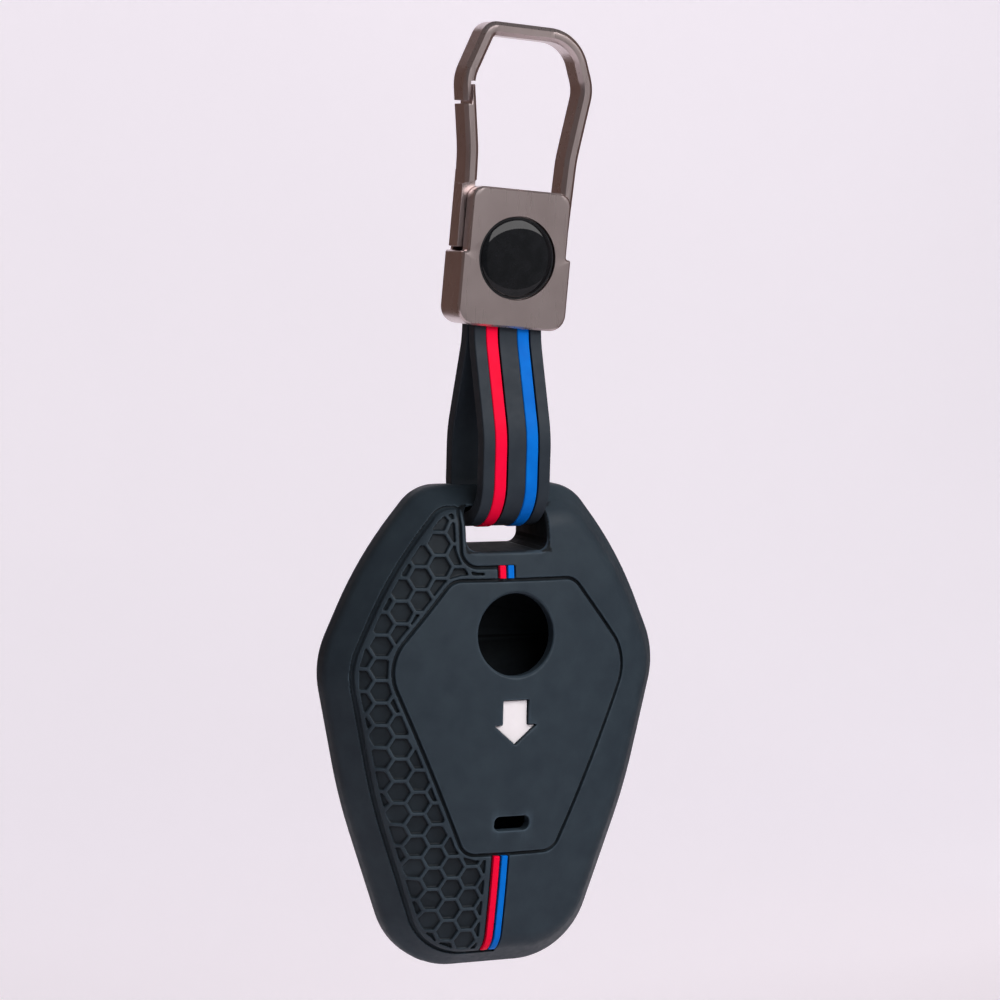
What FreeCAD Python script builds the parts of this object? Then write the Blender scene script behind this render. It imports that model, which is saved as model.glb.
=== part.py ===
import FreeCAD
import Part
import math
import os

# Key fob cover hanging from a strap and a spring-gate hook. Millimetres, Z up, front toward -Y.
# World origin: the inside of the hook's crown, where a finger or a ring carries it.
# The cover is drawn in its own frame (window centre at 0, 0, 0), strap and hook in another
# (centre of the strap's loop at 0, 0, 0); placed_parts sets them all in the world.

# Allowances shared by all pieces: cutters run past a face by THROUGH
THROUGH = 1.0
TOUCH = 0.01
MIN_ROUND = 0.3
ROUND_FIT = 0.98

# Cover outline, right half, corner points with their radii
TOP_HALF, TOP_Z, TOP_R = 12.6, 22.0, 7.0
UPPER_HALF, UPPER_Z, UPPER_R = 21.5, 11.0, 60.0
SIDE_HALF, SIDE_Z, SIDE_R = 28.4, -4.8, 14.0
LOWER_HALF, LOWER_Z, LOWER_R = 23.8, -26.0, 90.0
END_HALF, END_Z, END_R = 14.3, -52.8, 12.5

# Cover section
CROWN_Y = -0.65
CROWN_Z = -15.0
CROWN_R_ACROSS = 66.0
CROWN_R_ALONG = 175.0
CROWN_REACH = 1.4
CROWN_SWEEP = 50.0
FRONT_ROOM = 3.0
RIM_Y = 9.2
BACK_Y = 14.0
FLANK_ANGLE = 34.0
FRONT_ROUND = 4.5
RIM_ROUND = 3.0
BACK_ROUND = 2.5
FRONT_WALL = 2.0
SIDE_WALL = 2.6
BACK_WALL = 1.8
POCKET_TOP_Z = 9.2
MOUTH_WIDTH = 20.0
MOUTH_DEPTH = 4.5
MOUTH_REACH = 9.0
MOUTH_ROUND = 3.0

# Strap slot and the bar above it
SLOT_HALF = 6.7
SLOT_X = -0.95
SLOT_Z = 12.6
SLOT_ROUND = 1.6
SLOT_EDGE = 0.45
NOTCH_STEP = 0.75
BAR_HEIGHT = 2.9
BAR_DEPTH = 5.0

# Front features
WINDOW_R = 6.3
WINDOW_EDGE = 0.5
LED_WIDTH, LED_HEIGHT, LED_Z, LED_ROUND = 5.9, 2.3, -29.0, 1.0
PANEL_TOP_HALF, PANEL_TOP_Z, PANEL_TOP_R = 10.0, 8.0, 2.8
PANEL_SIDE_HALF, PANEL_SIDE_Z, PANEL_SIDE_R = 20.0, -4.4, 7.0
PANEL_END_HALF, PANEL_END_Z, PANEL_END_R = 7.3, -33.5, 2.6
GROOVE = 0.55
RELIEF_DEPTH = 0.65
FIELD_MARGIN = 2.7
FIELD_SLOT_SIDE = 0.75
FIELD_SLOT_BELOW = 2.1
FIELD_RIB = 0.5
CELL_PITCH = 3.4
CELL_X, CELL_Z = -11.95, 17.2
CELL_MIN_AREA = 0.4
ARROW_TOP_Z, ARROW_WING_Z, ARROW_TIP_Z = -9.9, -13.7, -16.9
ARROW_SHAFT_HALF, ARROW_WING_HALF = 2.15, 3.7
ARROW_GAP = 0.15
ARROW_DEPTH = 1.2
ARROW_SUNK = 0.6
STRIPE = 1.0
STRIPE_GAP = 0.34
STRIPE_PROUD = 0.15
STRIPE_END = 0.6

# Strap: a band folded round the bar, both ends in the block
STRAP_WIDTH = 11.2
STRAP_THICK = 2.2
LOOP_INNER_R = 4.8
LOOP_STRAIGHT = 5.0
LOOP_SHOULDER_R = 14.0
LOOP_NECK_R = 12.0
ENDS_GAP = 0.4
BAND_STRIPE = 1.8
BAND_STRIPE_X = 2.58
BAND_GROOVE = 0.4
BAND_GAP = 0.22
BAND_PROUD = 0.15
LOOP_CLEARANCE = 0.3

# Block of the hook, seen from the front, z from the badge centre
BADGE_Z = 33.9
BLOCK_HALF, BLOCK_UPPER_HALF = 9.0, 8.2
BLOCK_TOP, BLOCK_SHOULDER, BLOCK_BOTTOM = 10.35, 0.4, -10.55
BLOCK_DEPTH = 6.9
BLOCK_BOTTOM_R, BLOCK_TOP_R, BLOCK_STEP_R = 2.6, 2.0, 0.35
BLOCK_EDGE = 0.3
STRAP_HOLD = 3.7
HOLD_CLEARANCE = 0.1
HOLD_SIDE = 0.5
PLATE_THICK = 2.2

# Hook loop, z from the badge centre
HOOK_BASE_HALF, HOOK_BASE_Z, HOOK_BASE_R = 8.75, -0.6, 2.4
HOOK_LEG_HALF, HOOK_LEG_Z, HOOK_LEG_R = 9.3, 15.5, 25.0
HOOK_SIDE_HALF, HOOK_SIDE_Z, HOOK_SIDE_R = 11.0, 26.5, 7.0
HOOK_TOP_HALF, HOOK_TOP_Z, HOOK_TOP_R, HOOK_NOSE_R = 7.8, 35.0, 7.0, 2.8
HOOK_WIDTH = 2.1
HOOK_DEPTH = 4.5
HOOK_EDGE = 0.6

# Gate, its pin and its spring
NOSE_OUTER_Z, NOSE_INNER_Z = 22.8, 25.8
NOSE_GAP = 0.5
NOSE_SHIFT = 0.3
GATE_STEP_SLOPE = 18.0
GATE_STEP_GAP = 0.15
TAIL_DEPTH = 3.1
TAIL_CLEARANCE = 0.25
TAIL_LEFT = -9.05
TAIL_BOTTOM = 1.0
PIVOT_X, PIVOT_Z = -7.0, 2.9
FOOT_X = -3.5
FOOT_BOTTOM, FOOT_TOP = 1.9, 4.2
FOOT_SWING = 0.6
TAIL_SWING = 2.4
PIN_R = 0.7
PIN_RUNNING = 0.05
PIN_SEAT = 0.02
PIN_BLIND = 1.0
SPRING_X = -4.8
SPRING_R = 1.05
SPRING_WIRE_R = 0.2
SPRING_TURNS = 5
SPRING_LENGTH = 4.9
SPRING_CLEARANCE = 0.3

# Badge in the plate
BADGE_R = 6.2
BADGE_SEAT = 0.15
BADGE_DEPTH = 1.0
BADGE_BASE = 0.6
DOME_R = 5.9
DOME_RISE = 1.0

# Rest pose: the strap hangs straight and the block leans to the right on the strap's ends
LEAN = 3.9
LOOP_X = -0.4
LOOP_Y = 7.9

OUTLINE = [
    (TOP_HALF, TOP_Z, TOP_R),
    (UPPER_HALF, UPPER_Z, UPPER_R),
    (SIDE_HALF, SIDE_Z, SIDE_R),
    (LOWER_HALF, LOWER_Z, LOWER_R),
    (END_HALF, END_Z, END_R),
]
PANEL = [
    (PANEL_TOP_HALF, PANEL_TOP_Z, PANEL_TOP_R),
    (PANEL_SIDE_HALF, PANEL_SIDE_Z, PANEL_SIDE_R),
    (PANEL_END_HALF, PANEL_END_Z, PANEL_END_R),
]
BAR_BOTTOM = TOP_Z - BAR_HEIGHT
FRONT_FREE = CROWN_Y - FRONT_ROOM
LOOP_R = LOOP_INNER_R + STRAP_THICK / 2
LOOP_Z = BAR_BOTTOM + math.sqrt((LOOP_INNER_R - LOOP_CLEARANCE) ** 2 - (BAR_DEPTH / 2) ** 2)
X_AXIS = FreeCAD.Vector(1, 0, 0)
Y_AXIS = FreeCAD.Vector(0, 1, 0)


def point(x, z, y=0.0):
    return FreeCAD.Vector(x, y, z)


def mirrored(half):
    """Corner list of a shape that is symmetric about x = 0, clockwise from the right half."""
    return half + [(-x, z, r) for x, z, r in reversed(half)]


def inset(corners, distance):
    """Move every side of a clockwise polygon inward and give the new corners, with parallel rounds."""
    lines = []
    count = len(corners)
    for i in range(count):
        x0, z0, _ = corners[i]
        x1, z1, _ = corners[(i + 1) % count]
        length = math.hypot(x1 - x0, z1 - z0)
        dx, dz = (x1 - x0) / length, (z1 - z0) / length
        lines.append((x0 + dz * distance, z0 - dx * distance, dx, dz))
    moved = []
    for i in range(count):
        ax, az, adx, adz = lines[i - 1]
        bx, bz, bdx, bdz = lines[i]
        t = ((bx - ax) * bdz - (bz - az) * bdx) / (adx * bdz - adz * bdx)
        moved.append((ax + adx * t, az + adz * t, max(corners[i][2] - distance, MIN_ROUND)))
    return moved


def side_length(corners, i):
    x0, z0, _ = corners[i]
    x1, z1, _ = corners[(i + 1) % len(corners)]
    return math.hypot(x1 - x0, z1 - z0)


def drawn_in(corners, distance):
    """Polygon moved inward whose rounds shrink only as much as the shorter side beside them."""
    moved = inset(corners, distance)
    shares = [side_length(moved, i) / side_length(corners, i) for i in range(len(corners))]
    return [(x, z, corners[i][2] * min(shares[i - 1], shares[i])) for i, (x, z, _) in enumerate(moved)]


def fitted(corners):
    """Corners whose rounds shrink where two of them would not fit on the side between."""
    count = len(corners)
    reaches = []
    for i, (x, z, radius) in enumerate(corners):
        back_x, back_z, _ = corners[i - 1]
        ahead_x, ahead_z, _ = corners[(i + 1) % count]
        angle = point(back_x - x, back_z - z).getAngle(point(ahead_x - x, ahead_z - z))
        reaches.append(radius / math.tan(angle / 2))
    shares = []
    for i in range(count):
        shares.append(ROUND_FIT * side_length(corners, i) / (reaches[i] + reaches[(i + 1) % count]))
    return [(x, z, r * min(1.0, shares[i - 1], shares[i])) for i, (x, z, r) in enumerate(corners)]


def rounded_wire(corners, y=0.0):
    """Closed wire in the XZ plane with each corner rounded to its own radius."""
    corners = fitted(corners)
    count = len(corners)
    arcs = []
    for i in range(count):
        x, z, radius = corners[i]
        here = point(x, z, y)
        back = (point(*corners[i - 1][:2], y) - here).normalize()
        ahead = (point(*corners[(i + 1) % count][:2], y) - here).normalize()
        half_angle = back.getAngle(ahead) / 2
        bisector = (back + ahead).normalize()
        reach = radius / math.tan(half_angle)
        middle = bisector * (radius / math.sin(half_angle) - radius)
        arcs.append((here + back * reach, here + middle, here + ahead * reach))
    edges = []
    for i in range(count):
        start, middle, end = arcs[i]
        edges.append(Part.Arc(start, middle, end).toShape())
        edges.append(Part.LineSegment(end, arcs[(i + 1) % count][0]).toShape())
    return Part.Wire(edges)


def sharp_face(corners, y=0.0):
    points = [point(x, z, y) for x, z in corners]
    return Part.Face(Part.makePolygon(points + points[:1]))


def rounded_face(corners, y=0.0):
    return Part.Face(rounded_wire(corners, y))


def prism(face, y0, y1):
    solid = face.copy()
    solid.translate(Y_AXIS * y0)
    return solid.extrude(Y_AXIS * (y1 - y0))


def box(x0, x1, y0, y1, z0, z1):
    return Part.makeBox(x1 - x0, y1 - y0, z1 - z0, FreeCAD.Vector(x0, y0, z0))


def bar_along_y(radius, x, z, y0, y1):
    return Part.makeCylinder(radius, y1 - y0, point(x, z, y0), Y_AXIS)


def shifted(shape, x=0.0, y=0.0, z=0.0):
    moved = shape.copy()
    moved.translate(FreeCAD.Vector(x, y, z))
    return moved


def crown_block(front_y):
    """Everything behind a face that is arched both across and along the cover."""
    reach = CROWN_REACH * SIDE_HALF
    drop = CROWN_R_ACROSS - math.sqrt(CROWN_R_ACROSS ** 2 - reach ** 2)
    far = front_y + drop + 2 * BACK_Y
    left = FreeCAD.Vector(-reach, front_y + drop, CROWN_Z)
    top = FreeCAD.Vector(0, front_y, CROWN_Z)
    right = FreeCAD.Vector(reach, front_y + drop, CROWN_Z)
    arch = Part.Arc(left, top, right).toShape()
    corners = [right, FreeCAD.Vector(reach, far, CROWN_Z), FreeCAD.Vector(-reach, far, CROWN_Z), left]
    face = Part.Face(Part.Wire([arch] + Part.makePolygon(corners).Edges))
    axis = FreeCAD.Vector(0, front_y + CROWN_R_ALONG, CROWN_Z)
    face.rotate(axis, X_AXIS, -CROWN_SWEEP / 2)
    return face.revolve(axis, X_AXIS, CROWN_SWEEP)


def cover_body(wall_front, wall_side, wall_back):
    """The cover's outer shape moved inward by its walls; zero walls give the outside itself."""
    outline = inset(mirrored(OUTLINE), wall_side)
    front_y = CROWN_Y + wall_front
    back_y = BACK_Y - wall_back
    flank = RIM_Y - FRONT_FREE
    narrow = drawn_in(outline, flank * math.tan(math.radians(FLANK_ANGLE)))
    rim = rounded_wire(outline, RIM_Y)
    front = Part.makeLoft([rounded_wire(narrow, FRONT_FREE), rim], True, True)
    rear = Part.Face(rim).extrude(Y_AXIS * (back_y - RIM_Y))
    return front.fuse(rear).common(crown_block(front_y))


def edges_at(shape, y):
    return [e for e in shape.Edges if max(abs(e.BoundBox.YMin - y), abs(e.BoundBox.YMax - y)) < TOUCH]


def front_edges(shape):
    return [e for e in shape.Edges if e.BoundBox.YMax < RIM_Y - TOUCH]


def front_edges_near(shape, x, z, reach):
    """Edges that lie wholly within a square round a point and on the front, not running through."""
    found = []
    for edge in shape.Edges:
        b = edge.BoundBox
        inside = max(abs(b.XMin - x), abs(b.XMax - x), abs(b.ZMin - z), abs(b.ZMax - z)) < reach + TOUCH
        if inside and b.YMax < RIM_Y / 2 and b.YLength < RIM_Y / 4:
            found.append(edge)
    return found


def rounded_cover():
    body = cover_body(0.0, 0.0, 0.0)
    body = body.makeFillet(FRONT_ROUND, front_edges(body))
    body = body.makeFillet(RIM_ROUND, edges_at(body, RIM_Y))
    return body.makeFillet(BACK_ROUND, edges_at(body, BACK_Y))


def relief(face, body, depth):
    """Material to remove so that a face drawn on the front is sunk by one even depth."""
    return prism(face, FRONT_FREE, RIM_Y).cut(shifted(body, y=depth))


def inlay(face, body, depth, proud):
    """A piece that fills a sunk face and stands proud of the front, or stays below it if negative."""
    return prism(face, FRONT_FREE, RIM_Y).common(shifted(body, y=-proud)).cut(shifted(body, y=depth))


def front_y_at(body, x, z):
    """Where a line straight through the cover meets its front."""
    line = Part.makeLine(point(x, z, FRONT_FREE), point(x, z, RIM_Y))
    return line.common(body).BoundBox.YMin


def cell_cutter(face, body):
    """Straight-sided cell whose flat floor follows the slope of the front there."""
    middle = face.CenterOfMass
    x, z, step = middle.x, middle.z, CELL_PITCH / 4
    floor_y = front_y_at(body, x, z) + RELIEF_DEPTH
    slope_x = (front_y_at(body, x + step, z) - front_y_at(body, x - step, z)) / (2 * step)
    slope_z = (front_y_at(body, x, z + step) - front_y_at(body, x, z - step)) / (2 * step)
    floor = []
    for vertex in face.OuterWire.OrderedVertexes:
        y = floor_y + slope_x * (vertex.X - x) + slope_z * (vertex.Z - z)
        floor.append(point(vertex.X, vertex.Z, y))
    return Part.Face(Part.makePolygon(floor + floor[:1])).extrude(Y_AXIS * (FRONT_FREE - RIM_Y))


def slot_face(side, below):
    """Strap slot, grown by one distance at its sides and another below."""
    r = SLOT_ROUND + side
    right, left = SLOT_X + SLOT_HALF + side, SLOT_X - SLOT_HALF - side
    low, high = SLOT_Z - below, BAR_BOTTOM + side
    return rounded_face([(right, high, r), (right, low, r), (left, low, r), (left, high, r)])


def field_face(margin):
    """Honeycomb field on the left of the panel, drawn in by a margin."""
    face = rounded_face(inset(mirrored(OUTLINE), FIELD_MARGIN + margin))
    left_half = sharp_face([(-SIDE_HALF, TOP_Z), (-margin, TOP_Z), (-margin, END_Z), (-SIDE_HALF, END_Z)])
    face = face.common(left_half)
    face = face.cut(rounded_face(inset(mirrored(PANEL), -margin)))
    border = FIELD_SLOT_SIDE + margin
    face = face.cut(slot_face(border, FIELD_SLOT_BELOW + margin))
    left = SLOT_X - SLOT_HALF - border
    return face.cut(sharp_face([(left, TOP_Z), (0, TOP_Z), (0, BAR_BOTTOM), (left, BAR_BOTTOM)]))


def cell_centres():
    """Centres of the hexagons that can reach the left half of the cover."""
    column = CELL_PITCH * math.sqrt(3) / 2
    first, last = math.floor((-SIDE_HALF - CELL_X) / column), math.ceil(-CELL_X / column)
    low, high = math.floor((END_Z - CELL_Z) / CELL_PITCH), math.ceil((TOP_Z - CELL_Z) / CELL_PITCH)
    centres = []
    for i in range(first, last + 1):
        for j in range(low, high + 1):
            centres.append((CELL_X + i * column, CELL_Z + (j + (i % 2) / 2) * CELL_PITCH))
    return centres


def cell_faces():
    """Hexagonal cells between the ribs, clipped by the border rib of the field."""
    field = field_face(GROOVE + FIELD_RIB)
    field = field.cut(stripe_bed(END_Z, TOP_Z, STRIPE_GAP + FIELD_RIB))
    radius = (CELL_PITCH - FIELD_RIB) / math.sqrt(3)
    angles = [math.radians(60 * k) for k in range(6)]
    cells = []
    for x, z in cell_centres():
        hexagon = sharp_face([(x + radius * math.cos(a), z + radius * math.sin(a)) for a in angles])
        cells += [part for part in hexagon.common(field).Faces if part.Area > CELL_MIN_AREA]
    return cells


def stripe_faces(z0, z1):
    """Red and blue inlay outlines side by side, left of the centre line."""
    blue_right = -STRIPE_GAP
    red_right = blue_right - STRIPE - STRIPE_GAP
    faces = []
    for right in (red_right, blue_right):
        faces.append(sharp_face([(right - STRIPE, z1), (right, z1), (right, z0), (right - STRIPE, z0)]))
    return faces


def stripe_bed(z0, z1, margin=0.0):
    """Bed of both stripes, with a margin on the left."""
    width = 2 * STRIPE + 3 * STRIPE_GAP + margin
    return sharp_face([(-width, z1), (0, z1), (0, z0), (-width, z0)])


def arrow_face(gap):
    """Downward arrow, drawn in by a gap on every side."""
    wing = ARROW_WING_HALF - 2 * gap
    shaft = ARROW_SHAFT_HALF - gap
    top, wing_z, tip = ARROW_TOP_Z - gap, ARROW_WING_Z - gap, ARROW_TIP_Z + gap
    right = [(shaft, top), (shaft, wing_z), (wing, wing_z)]
    left = [(-x, z) for x, z in reversed(right)]
    return sharp_face(right + [(0, tip)] + left)


def tick_span():
    """Heights of the short ticks, between the panel's groove and the slot's border."""
    return PANEL_TOP_Z + GROOVE, SLOT_Z - FIELD_SLOT_BELOW


def stripe_span():
    """Heights of the long stripes, from the panel's groove down to the field's end."""
    return END_Z + FIELD_MARGIN + STRIPE_END, PANEL_END_Z - GROOVE


def window_cutter():
    """Round window with a bevelled edge, square to the arched front."""
    outward = point(0, -CROWN_Z, -CROWN_R_ALONG).normalize()
    inside = RIM_Y / 2
    bore = Part.makeCylinder(WINDOW_R, inside + FRONT_ROOM, outward * -inside, outward)
    bevel = Part.makeCone(WINDOW_R, WINDOW_R + FRONT_ROOM, FRONT_ROOM, outward * -WINDOW_EDGE, outward)
    return bore.fuse(bevel)


def opened_cover(body):
    """The cover with its pocket, mouth, strap slot, window and lamp slot, edges rounded."""
    bar_front, bar_back = LOOP_Y - BAR_DEPTH / 2, LOOP_Y + BAR_DEPTH / 2
    shell = body.cut(prism(slot_face(0.0, 0.0), FRONT_FREE, BACK_Y + THROUGH))
    slot_middle = (SLOT_Z + BAR_BOTTOM) / 2
    shell = shell.makeChamfer(SLOT_EDGE, front_edges_near(shell, SLOT_X, slot_middle, SLOT_HALF))
    notch_left, notch_right = SLOT_X - SLOT_HALF + NOTCH_STEP, SLOT_X + SLOT_HALF
    notches = []
    for y0, y1 in ((FRONT_FREE, bar_front), (bar_back, BACK_Y + THROUGH)):
        notches.append(box(notch_left, notch_right, y0, y1, BAR_BOTTOM - SLOT_ROUND, TOP_Z + THROUGH))

    pocket = cover_body(FRONT_WALL, SIDE_WALL, BACK_WALL)
    pocket = pocket.common(box(-SIDE_HALF, SIDE_HALF, FRONT_FREE, BACK_Y, END_Z, POCKET_TOP_Z))
    led = [(LED_WIDTH / 2, LED_Z + side * LED_HEIGHT / 2, LED_ROUND) for side in (1, -1)]
    mouth_half, mouth_top = MOUTH_WIDTH / 2, END_Z + MOUTH_REACH
    mouth = box(-mouth_half, mouth_half, BACK_Y - MOUTH_DEPTH, BACK_Y + THROUGH, END_Z - THROUGH, mouth_top)
    top_corners = [e for e in mouth.Edges if e.BoundBox.ZMin > END_Z and e.BoundBox.YLength > THROUGH]
    mouth = mouth.makeFillet(MOUTH_ROUND, top_corners)
    lamp = prism(rounded_face(mirrored(led)), FRONT_FREE, RIM_Y)
    return shell.cut(notches + [pocket, mouth, lamp, window_cutter()])


def cover_parts():
    body = rounded_cover()
    tick_low, tick_high = tick_span()
    stripe_low, stripe_high = stripe_span()
    sunk = [
        field_face(0.0).cut(field_face(GROOVE)),
        rounded_face(inset(mirrored(PANEL), -GROOVE)).cut(rounded_face(mirrored(PANEL))),
        stripe_bed(tick_low, tick_high),
        stripe_bed(stripe_low, stripe_high),
    ]
    tools = [relief(face, body, RELIEF_DEPTH) for face in sunk]
    tools += [cell_cutter(face, body) for face in cell_faces()]
    tools.append(relief(arrow_face(0.0), body, ARROW_DEPTH))
    parts = {"cover_shell": opened_cover(body).cut(tools)}
    ticks = [inlay(f, body, RELIEF_DEPTH, STRIPE_PROUD) for f in stripe_faces(tick_low, tick_high)]
    stripes = [inlay(f, body, RELIEF_DEPTH, STRIPE_PROUD) for f in stripe_faces(stripe_low, stripe_high)]
    parts["tick_red"], parts["tick_blue"] = ticks
    parts["stripe_red"], parts["stripe_blue"] = stripes
    parts["arrow_inlay"] = inlay(arrow_face(ARROW_GAP), body, ARROW_DEPTH, -ARROW_SUNK)
    return parts


def strap_edges(offset):
    """One face of the folded band in the YZ plane, from one end round the loop to the other."""
    neck_y = ENDS_GAP / 2 + STRAP_THICK / 2
    exit_z = BADGE_Z + BLOCK_BOTTOM
    shoulder = FreeCAD.Vector(0, LOOP_R - LOOP_SHOULDER_R, LOOP_STRAIGHT)
    neck = FreeCAD.Vector(0, neck_y + LOOP_NECK_R, exit_z)
    across = neck - shoulder
    turn = math.acos((LOOP_SHOULDER_R + LOOP_NECK_R) / across.Length)
    angle = math.atan2(across.z, across.y) - turn

    def toward(degree):
        return FreeCAD.Vector(0, math.cos(degree), math.sin(degree))

    shoulder_r = LOOP_SHOULDER_R + offset
    neck_r = LOOP_NECK_R - offset
    loop_r = LOOP_R + offset
    end = FreeCAD.Vector(0, neck_y + offset, exit_z + STRAP_HOLD)
    mouth = FreeCAD.Vector(0, neck_y + offset, exit_z)
    leave = neck - toward(angle) * neck_r
    meet = shoulder + toward(angle) * shoulder_r
    low = FreeCAD.Vector(0, loop_r, LOOP_STRAIGHT)
    side = FreeCAD.Vector(0, loop_r, 0)
    bottom = FreeCAD.Vector(0, 0, -loop_r)
    half = [
        Part.LineSegment(end, mouth).toShape(),
        Part.Arc(mouth, neck - toward(angle / 2) * neck_r, leave).toShape(),
        Part.LineSegment(leave, meet).toShape(),
        Part.Arc(meet, shoulder + toward(angle / 2) * shoulder_r, low).toShape(),
        Part.LineSegment(low, side).toShape(),
        Part.Arc(side, toward(-math.pi / 4) * loop_r, bottom).toShape(),
    ]
    return half + [edge.mirror(FreeCAD.Vector(), Y_AXIS) for edge in half]


def band(inner, outer, x0, x1):
    """Solid between two faces of the folded band, x0 to x1 across."""
    edges = strap_edges(outer) + strap_edges(inner)
    z = BADGE_Z + BLOCK_BOTTOM + STRAP_HOLD
    neck_y = ENDS_GAP / 2 + STRAP_THICK / 2
    for side in (-1, 1):
        a = FreeCAD.Vector(0, side * (neck_y + inner), z)
        b = FreeCAD.Vector(0, side * (neck_y + outer), z)
        edges.append(Part.LineSegment(a, b).toShape())
    face = Part.Face(Part.Wire(Part.__sortEdges__(edges)))
    return shifted(face, x=x0).extrude(X_AXIS * (x1 - x0))


def strap_parts():
    outside = STRAP_THICK / 2
    exit_z = BADGE_Z + BLOCK_BOTTOM
    strap = band(-outside, outside, -STRAP_WIDTH / 2, STRAP_WIDTH / 2)
    pin_z = exit_z + STRAP_HOLD / 2
    strap = strap.cut(leaned(bar_along_y(PIN_R + PIN_SEAT, 0, pin_z, -BLOCK_DEPTH, BLOCK_DEPTH)))
    above_z = exit_z - GATE_STEP_GAP
    above = box(-STRAP_WIDTH, STRAP_WIDTH, -BLOCK_DEPTH, BLOCK_DEPTH, above_z, above_z + BADGE_Z)
    parts = {}
    for name, x in (("strap_stripe_red", -BAND_STRIPE_X), ("strap_stripe_blue", BAND_STRIPE_X)):
        left, right = x - BAND_STRIPE / 2, x + BAND_STRIPE / 2
        groove = band(outside - BAND_GROOVE, outside + THROUGH, left - BAND_GAP, right + BAND_GAP)
        strap = strap.cut(groove.cut(above))
        parts[name] = band(outside - BAND_GROOVE, outside + BAND_PROUD, left, right).cut(above)
    parts["strap_band"] = strap
    return parts


def leaned(shape):
    """Turn a piece of the block about the point where the strap leaves it."""
    turned = shape.copy()
    turned.rotate(point(0, BADGE_Z + BLOCK_BOTTOM), Y_AXIS, LEAN)
    return turned


def hook_ring():
    half = [
        (HOOK_TOP_HALF, HOOK_TOP_Z, HOOK_TOP_R),
        (HOOK_SIDE_HALF, HOOK_SIDE_Z, HOOK_SIDE_R),
        (HOOK_LEG_HALF, HOOK_LEG_Z, HOOK_LEG_R),
        (HOOK_BASE_HALF, HOOK_BASE_Z, HOOK_BASE_R),
    ]
    outer = mirrored(half)
    outer[-1] = (-HOOK_TOP_HALF, HOOK_TOP_Z, HOOK_NOSE_R)
    ring = rounded_face(outer).cut(rounded_face(inset(outer, HOOK_WIDTH)))
    solid = prism(ring, -HOOK_DEPTH / 2, HOOK_DEPTH / 2)
    edges = edges_at(solid, -HOOK_DEPTH / 2) + edges_at(solid, HOOK_DEPTH / 2)
    return solid.makeChamfer(HOOK_EDGE, edges)


def cavity_y():
    """Front and back of the space behind the plate that the gate's tail swings in."""
    y0 = -BLOCK_DEPTH / 2 + PLATE_THICK
    return y0, y0 + TAIL_DEPTH + 2 * TAIL_CLEARANCE


def tail_middle():
    return sum(cavity_y()) / 2


def nose_x():
    """Middle of the hook's left leg at the nose, where the two teeth overlap."""
    return -HOOK_SIDE_HALF + HOOK_WIDTH / 2 + NOSE_SHIFT


def hook_frame():
    outline = mirrored([
        (BLOCK_UPPER_HALF, BLOCK_TOP, BLOCK_TOP_R),
        (BLOCK_UPPER_HALF, BLOCK_SHOULDER, BLOCK_STEP_R),
        (BLOCK_HALF, BLOCK_SHOULDER, BLOCK_STEP_R),
        (BLOCK_HALF, BLOCK_BOTTOM, BLOCK_BOTTOM_R),
    ])
    front, back = -BLOCK_DEPTH / 2, BLOCK_DEPTH / 2
    block = prism(rounded_face(outline), front, back)
    block = block.makeChamfer(BLOCK_EDGE, edges_at(block, front) + edges_at(block, back))
    far = 2 * HOOK_TOP_Z
    middle = nose_x()
    kept = sharp_face([
        (-far, far), (far, far), (far, HOOK_BASE_Z), (0, HOOK_BASE_Z), (0, NOSE_INNER_Z),
        (middle, NOSE_INNER_Z), (middle, NOSE_OUTER_Z), (-far, NOSE_OUTER_Z),
    ])
    frame = block.fuse(hook_ring().common(prism(kept, front, back)))
    y0, y1 = cavity_y()
    foot_right = FOOT_X + FOOT_SWING
    tail_right = TAIL_LEFT + HOOK_WIDTH + TAIL_SWING
    cavity = sharp_face([
        (-far, BLOCK_SHOULDER), (foot_right, BLOCK_SHOULDER), (foot_right, FOOT_TOP + FOOT_SWING),
        (tail_right, FOOT_TOP + TAIL_SWING), (tail_right, BLOCK_TOP + THROUGH), (-far, BLOCK_TOP + THROUGH),
    ])
    frame = frame.cut(prism(cavity, y0, y1))
    spring_bore = SPRING_R + SPRING_WIRE_R + SPRING_CLEARANCE
    bore_base = point(SPRING_X, FOOT_BOTTOM - SPRING_LENGTH, tail_middle())
    frame = frame.cut(Part.makeCylinder(spring_bore, SPRING_LENGTH, bore_base))
    frame = frame.cut(bar_along_y(BADGE_R + BADGE_SEAT, 0, 0, front - THROUGH, front + BADGE_DEPTH))
    frame = frame.cut(bar_along_y(PIN_R + PIN_SEAT, PIVOT_X, PIVOT_Z, y0 - PIN_BLIND, back + THROUGH))
    hold_x = STRAP_WIDTH / 2 + HOLD_SIDE
    hold_y = STRAP_THICK + ENDS_GAP / 2 + HOLD_CLEARANCE
    hold_top = BLOCK_BOTTOM + STRAP_HOLD + HOLD_SIDE
    frame = frame.cut(box(-hold_x, hold_x, -hold_y, hold_y, BLOCK_BOTTOM - THROUGH, hold_top))
    pin_z = BLOCK_BOTTOM + STRAP_HOLD / 2
    frame = frame.cut(bar_along_y(PIN_R + PIN_SEAT, 0, pin_z, front + PIN_BLIND / 2, back + THROUGH))
    return shifted(frame, z=BADGE_Z)


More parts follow.
